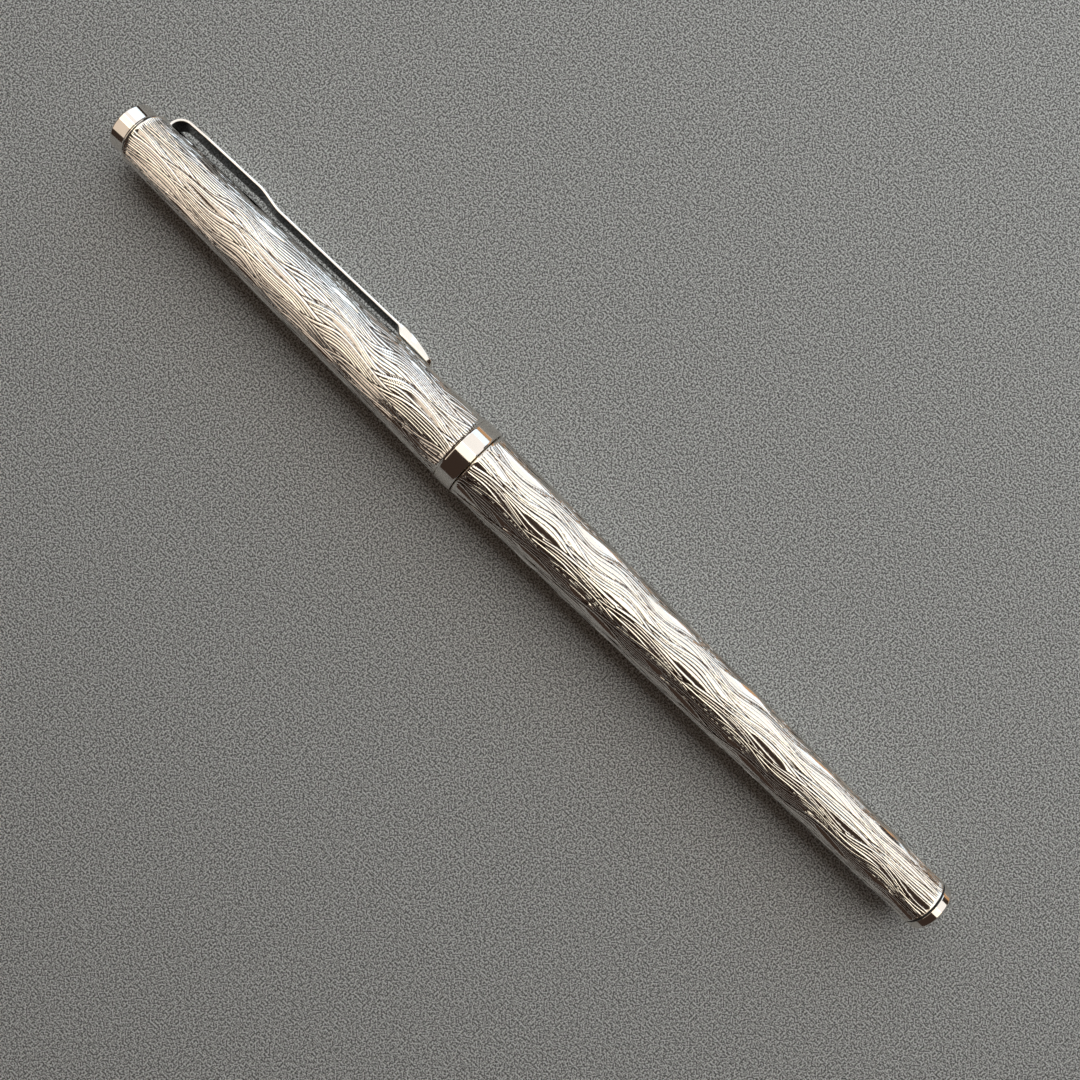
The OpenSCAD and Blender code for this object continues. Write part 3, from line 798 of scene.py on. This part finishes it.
def clip_piece():
    """The clip, with an attribute that is 1 on the strip's side that looks at the cap, where the
    material paints shade.
    """
    line, out, half = strip_stations()
    across, up = section(STRIP_SQUARENESS)
    strip = line[:, None, :] + out[:, None, :] * (up * STRIP_T / 2)[None, :, None]
    strip_w = half[:, None] * across

    pad_s, inner, outer, pad_half, swell = (column[:, None] for column in pad_stations())
    round_across, round_up = section(PAD_SQUARENESS)
    pad_w = pad_half * (across + (round_across - across) * swell)
    pad_up = up + (round_up - up) * swell
    floor_r = inner + (np.sqrt(inner ** 2 - pad_w ** 2) - inner) * swell
    pad_r = floor_r + (outer - floor_r) * (pad_up + 1) / 2

    s = np.concatenate([strip[..., 0], np.broadcast_to(pad_s, pad_r.shape)])
    r = np.concatenate([strip[..., 1], pad_r])
    w = np.concatenate([strip_w, pad_w])
    clip = swept("clip_rounded", s, np.hypot(r, w), CLIP_TURN + np.arctan2(w, r))
    on_strip = np.concatenate([np.ones((len(line), 1)), 1 - swell])
    # painted shade on the strip's side that looks at the cap, none on the pad
    inside = on_strip * eased(-up * SHADE_RISE - SHADE_FROM)
    mark_points(clip, "inside", inside.ravel())
    stand_for(clip, "clip")


# ---- Camera, floor and light ----

CAMERA_X, CAMERA_Y, CAMERA_Z = -2.78, 1.84, 130
CAMERA_ROLL = math.radians(224.352)
CAMERA_LENS, SENSOR_WIDTH = 35.17, 36
NEAR_CLIP = 5


def camera():
    """The camera looks straight down, rolled so that the pen lies across the picture."""
    data = bpy.data.cameras.new("camera")
    data.lens = CAMERA_LENS
    data.sensor_width = SENSOR_WIDTH
    data.clip_start = NEAR_CLIP * MM
    viewer = bpy.data.objects.new("camera", data)
    viewer.location = Vector((CAMERA_X, CAMERA_Y, CAMERA_Z)) * MM
    viewer.rotation_euler = (0, 0, CAMERA_ROLL)
    bpy.context.scene.collection.objects.link(viewer)
    bpy.context.scene.camera = viewer


FLOOR_HALF = 20000
FLOOR_FADE = 0.15, 0.70               # from here to here, in metres, it turns into the backdrop
FELT_GRAIN = 0.22
FELT_DARK, FELT_PALE = (0.14, 0.145, 0.14), (0.95, 0.97, 0.955)
BACKDROP = (0.26, 0.26, 0.26)


def floor():
    """A plain felt that far from the pen glows in the backdrop's colour, to hide its horizon."""
    half = FLOOR_HALF * MM
    corners = [(-half, -half, 0), (half, -half, 0), (half, half, 0), (-half, half, 0)]
    plane = new_piece("floor", corners, [(0, 1, 2, 3)])
    material, add, link = new_material("floor", (0.5, 0.5, 0.5), 0.0, 0.9)
    felt = grain(add, FELT_GRAIN, FELT_GRAIN, detail=2.0).outputs["Fac"]
    speckle = ramp(add, felt, 0.41, 0.59, 0.0, 1.0)
    link(blend_colour(add, speckle, FELT_DARK, FELT_PALE), "Base Color")
    link(bump(add, felt, 0.08), "Normal")
    away = add("VectorMath", Vector=add("TexCoord").outputs["Object"])
    away.operation = "LENGTH"
    shader = material.node_tree.nodes["Principled BSDF"]
    shader.inputs["Emission Color"].default_value = (*BACKDROP, 1)
    link(ramp(add, away.outputs["Value"], *FLOOR_FADE, 0.0, 1.0), "Emission Strength")
    plane.data.materials.append(material)


# name: lean from straight up towards +Y and towards +X in degrees, distance, width along the
# pen, height across it, radiance, colour, and whether it lights the floor or only shines in metal
SOFTBOXES = {
    "overhead": (-35, 4, 500, 1200, 400, 1.1, (1.0, 0.985, 0.96), True),
    "overhead_warm": (-2, 0, 500, 1200, 250, 1.60, (1.0, 0.92, 0.75), False),
    "window": (-67, 0, 500, 590, 180, 1.40, (0.78, 0.90, 1.0), True),
    "warm_wall": (-86, -20, 500, 700, 150, 0.55, (1.0, 0.58, 0.28), False),
    "cap_fill": (35, 32, 800, 520, 700, 0.80, (1.0, 0.85, 0.70), False),
    "cap_sky": (-50, 21, 700, 240, 420, 0.40, (0.45, 0.68, 1.0), False),
}
ROOM = (0.04, 0.026, 0.02)


def softbox(name, lean_y, lean_x, distance, width, height, radiance, colour, on_floor):
    """A rectangular light of even brightness that faces the pen."""
    turn, tilt = math.radians(lean_y), math.radians(lean_x)
    way = Vector((math.sin(tilt), math.sin(turn) * math.cos(tilt), math.cos(turn) * math.cos(tilt)))
    data = bpy.data.lights.new(name, "AREA")
    data.shape = "RECTANGLE"
    data.size, data.size_y = width * MM, height * MM
    data.energy = radiance * math.pi * data.size * data.size_y
    data.color = colour
    lamp = bpy.data.objects.new(name, data)
    lamp.location = way * distance * MM
    across = way.cross(Vector((1, 0, 0))).normalized()
    lamp.rotation_euler = Matrix((across.cross(way), across, way)).transposed().to_euler()
    lamp.visible_camera = False
    lamp.visible_diffuse = on_floor
    bpy.context.scene.collection.objects.link(lamp)


def sky():
    """A dark room, which the camera sees as an even pale backdrop."""
    world = bpy.data.worlds.new("studio")
    world.use_nodes = True
    tree = world.node_tree
    add = node_adder(tree)
    by_camera = add("LightPath").outputs["Is Camera Ray"]
    colour = blend_colour(add, by_camera, ROOM, BACKDROP)
    tree.links.new(colour, tree.nodes["Background"].inputs["Color"])
    bpy.context.scene.world = world


def studio():
    """The room, its lamps, and colours shown without a film look."""
    sky()
    for name, numbers in SOFTBOXES.items():
        softbox(name, *numbers)
    bpy.context.scene.view_settings.view_transform = "Standard"


# ---- The pen ----

cap_start, band_start = stretch_of("cap_tube")[0], stretch_of("cap_band")[0]
barrel_start, barrel_end = stretch_of("barrel_tube")
TUBE_EDGE = 0.15      # width of the bevel at the ends of the tubes
CLIP_POCKET = (ROOT_S, 0.7, 2.7, 0.3)

camera()
floor()
studio()
bark_tube("cap_tube", cap_start + TUBE_EDGE, band_start,
          columns=440, rows=200, wave=11.4, seed=3, pocket=CLIP_POCKET)
bark_tube("barrel_tube", barrel_start + TUBE_EDGE, barrel_end - TUBE_EDGE,
          columns=400, rows=222, wave=12.2, seed=8)
turned_pieces()
writing_ball()
section_connector()
refill_spring()
clip_piece()
for name in ("clip_bush", "cap_clutch"):
    slot = nodes[name].data.materials[0].name
    nodes[name].material_slots[0].material = finishes[slot]
